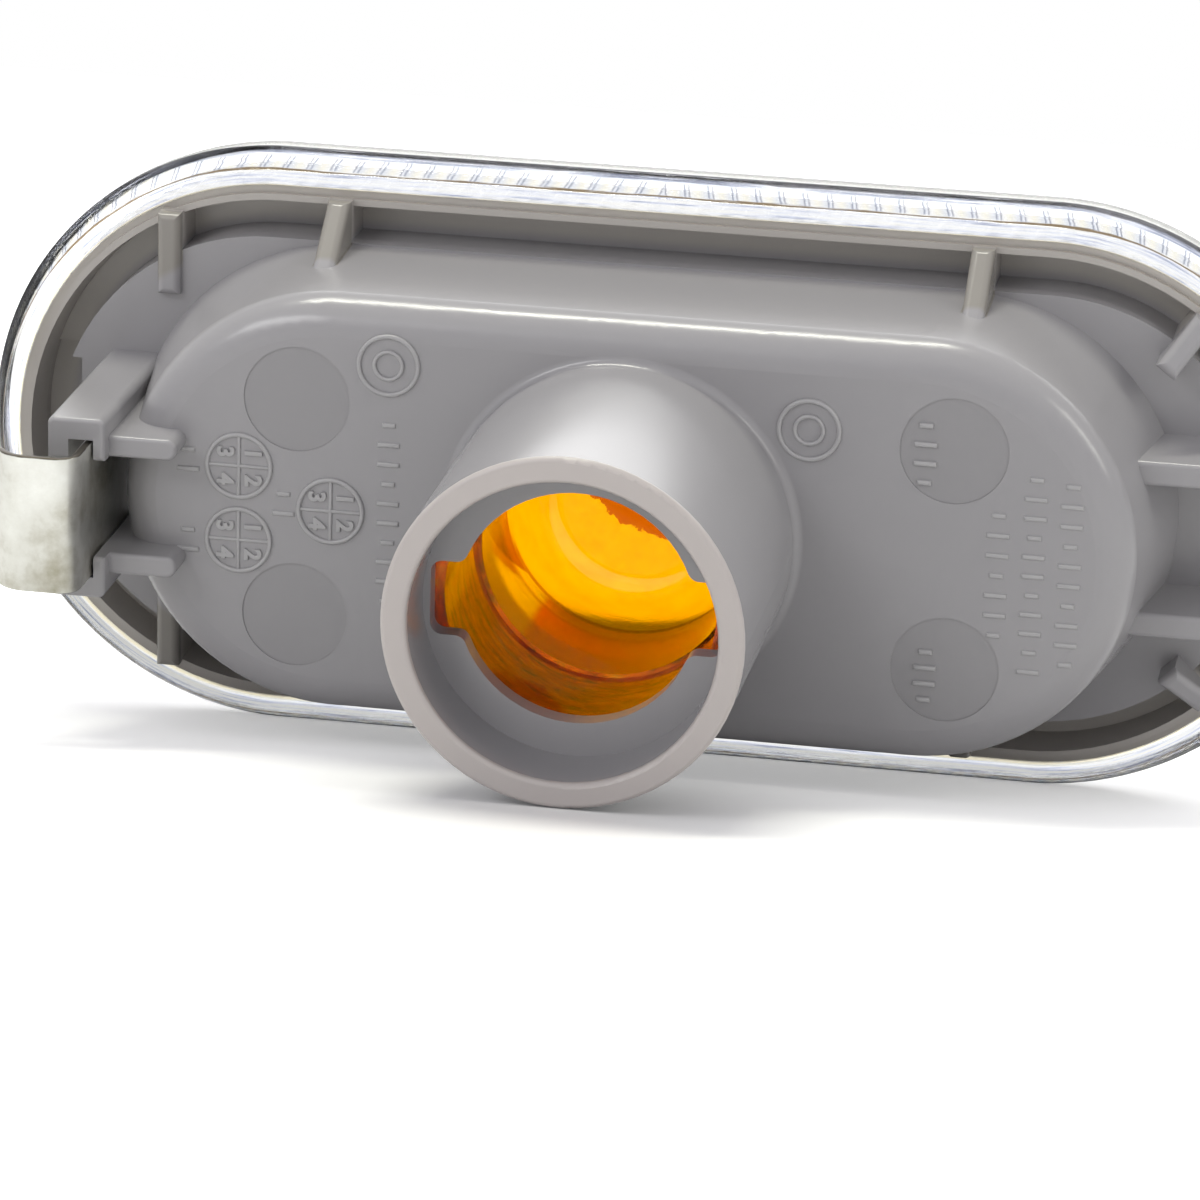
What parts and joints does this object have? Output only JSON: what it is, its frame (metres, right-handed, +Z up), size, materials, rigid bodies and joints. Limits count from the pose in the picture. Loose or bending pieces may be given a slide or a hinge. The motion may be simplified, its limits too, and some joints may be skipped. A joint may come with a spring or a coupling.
{
  "type": "side repeater lamp",
  "caption": "Oval side repeater lamp for a car wing: clear domed lens on a grey housing, amber cap in a round bulb socket, and a folded spring clip at one end.",
  "frame": {"origin": "on the axis of the bulb socket, in the plane where the lens's rear edge rests on the body panel", "axes": "+X along the lamp away from the spring clip, +Y out of the body panel through the lens, +Z up"},
  "size_m": [0.0962, 0.0473, 0.0424],
  "materials": {
    "clear_lens": "clear, polished",
    "grey_housing": "moulded, satin",
    "amber": "transparent amber, polished",
    "spring_steel": "zinc plated, slightly yellowed"
  },
  "bodies": {
    "root": {"lens": "clear_lens", "housing": "grey_housing", "amber_cap": "amber", "spring_clip": "spring_steel"}
  },
  "joints": []
}
